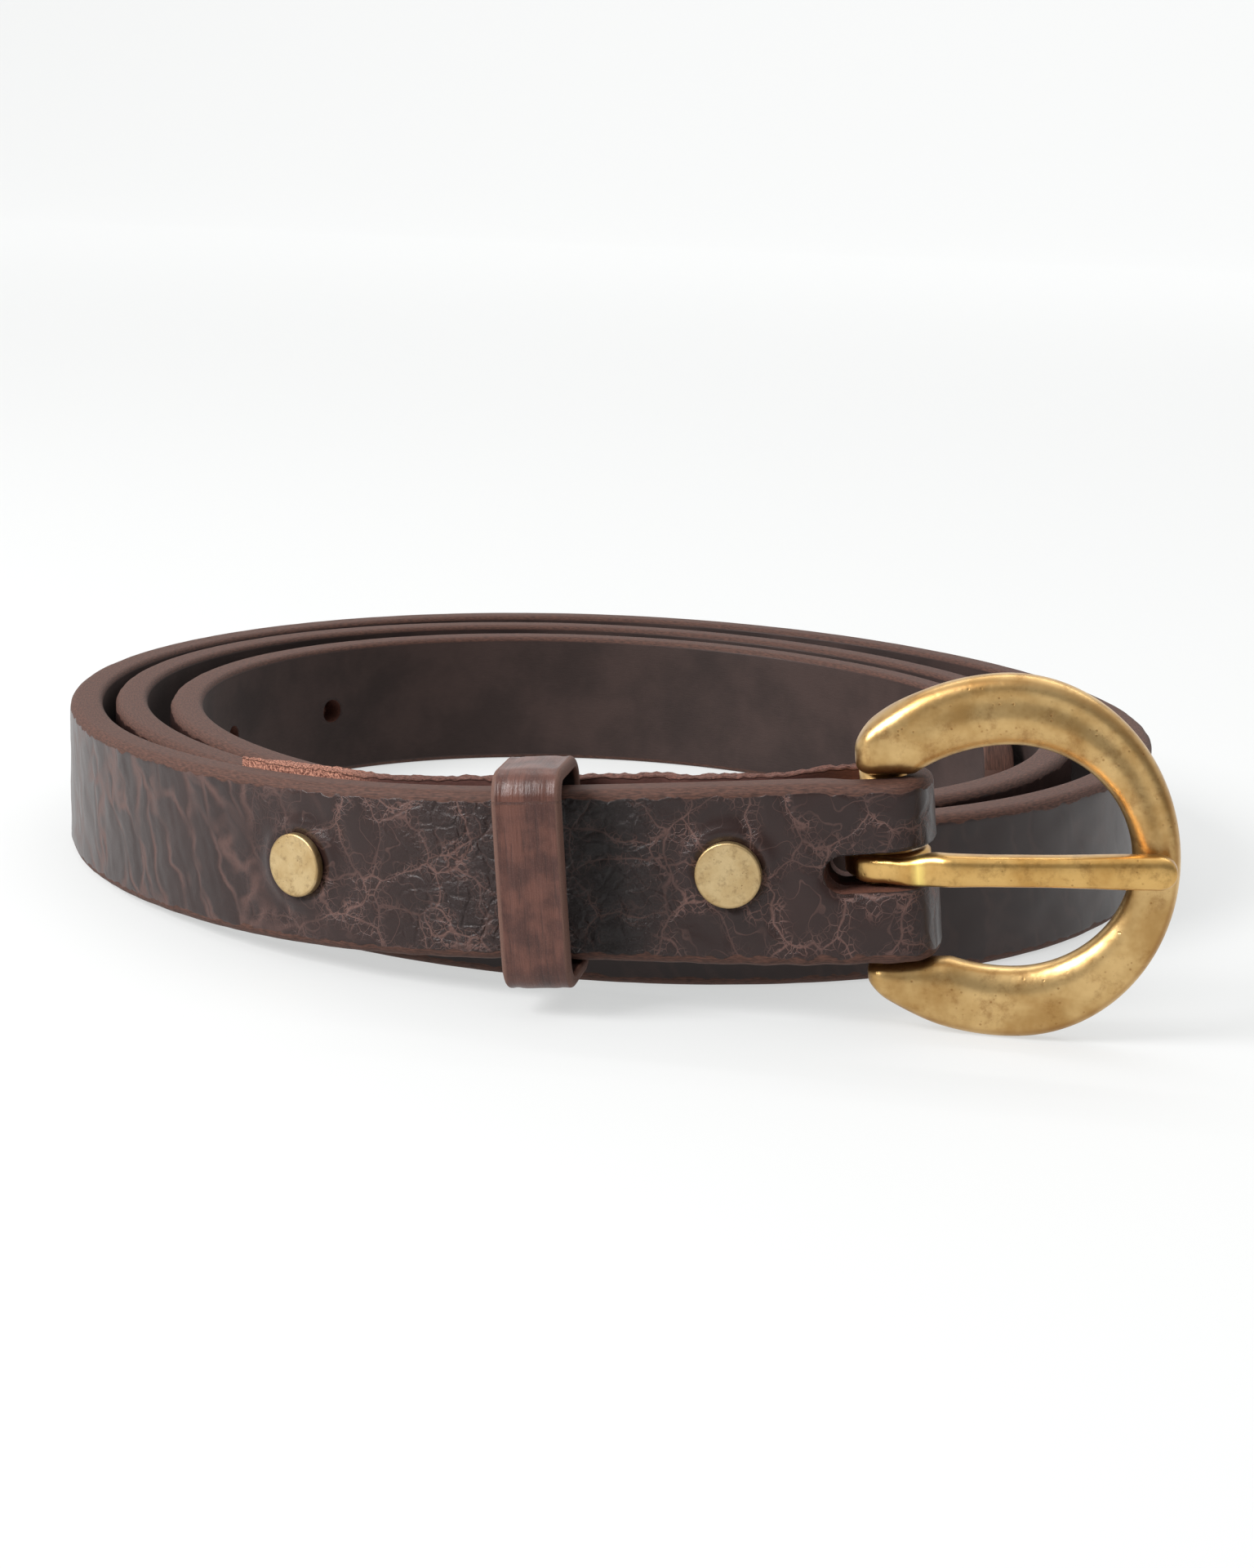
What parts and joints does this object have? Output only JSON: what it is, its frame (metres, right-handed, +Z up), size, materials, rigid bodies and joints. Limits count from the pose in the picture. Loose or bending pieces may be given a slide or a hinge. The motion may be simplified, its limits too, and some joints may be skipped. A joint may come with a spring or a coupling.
{
  "type": "leather belt",
  "caption": "Narrow dark brown leather belt coiled on its edge, with a one-piece brass horseshoe buckle, a single tongue, flat cap rivets and a leather keeper loop.",
  "frame": {"origin": "middle of the bounding box, on the floor the coil stands on", "axes": "+Z up, across the leather's width; the buckle faces -Y and its tongue points to +X; the straight lead runs along X"},
  "size_m": [0.1478, 0.1572, 0.04],
  "materials": {
    "strap_leather": "dark brown, pebbled grain, satin; edges burnished a lighter brown",
    "keeper_leather": "smooth, slightly redder brown, satin, creased across",
    "buckle_brass": "cast, satin, with a browner patina near the rim",
    "rivet_brass": "pressed, satin antique brass with dark specks"
  },
  "bodies": {
    "belt": {"strap": "strap_leather", "rivet_1_cap": "rivet_brass", "rivet_1_post": "rivet_brass", "rivet_2_cap": "rivet_brass", "rivet_2_post": "rivet_brass"},
    "frame": {"buckle_frame": "buckle_brass"},
    "prong": {"tongue": "buckle_brass"},
    "keeper": {"keeper_loop": "keeper_leather"}
  },
  "joints": [
    {"name": "frame_hinge", "type": "hinge", "parent": "belt", "child": "frame", "pos_m": [0.04258, -0.06553, 0.01851], "axis": [0.1118, 0, -0.9937], "range_deg": [-55, 25]},
    {"name": "tongue_hinge", "type": "hinge", "parent": "frame", "child": "prong", "pos_m": [0.04258, -0.06553, 0.01851], "axis": [0.1118, 0, -0.9937], "range_deg": [0, 45]},
    {"name": "keeper_slide", "type": "slide", "parent": "belt", "child": "keeper", "axis": [0.9957, 0, 0.093], "range_m": [-0.0012, 0.0085]}
  ]
}
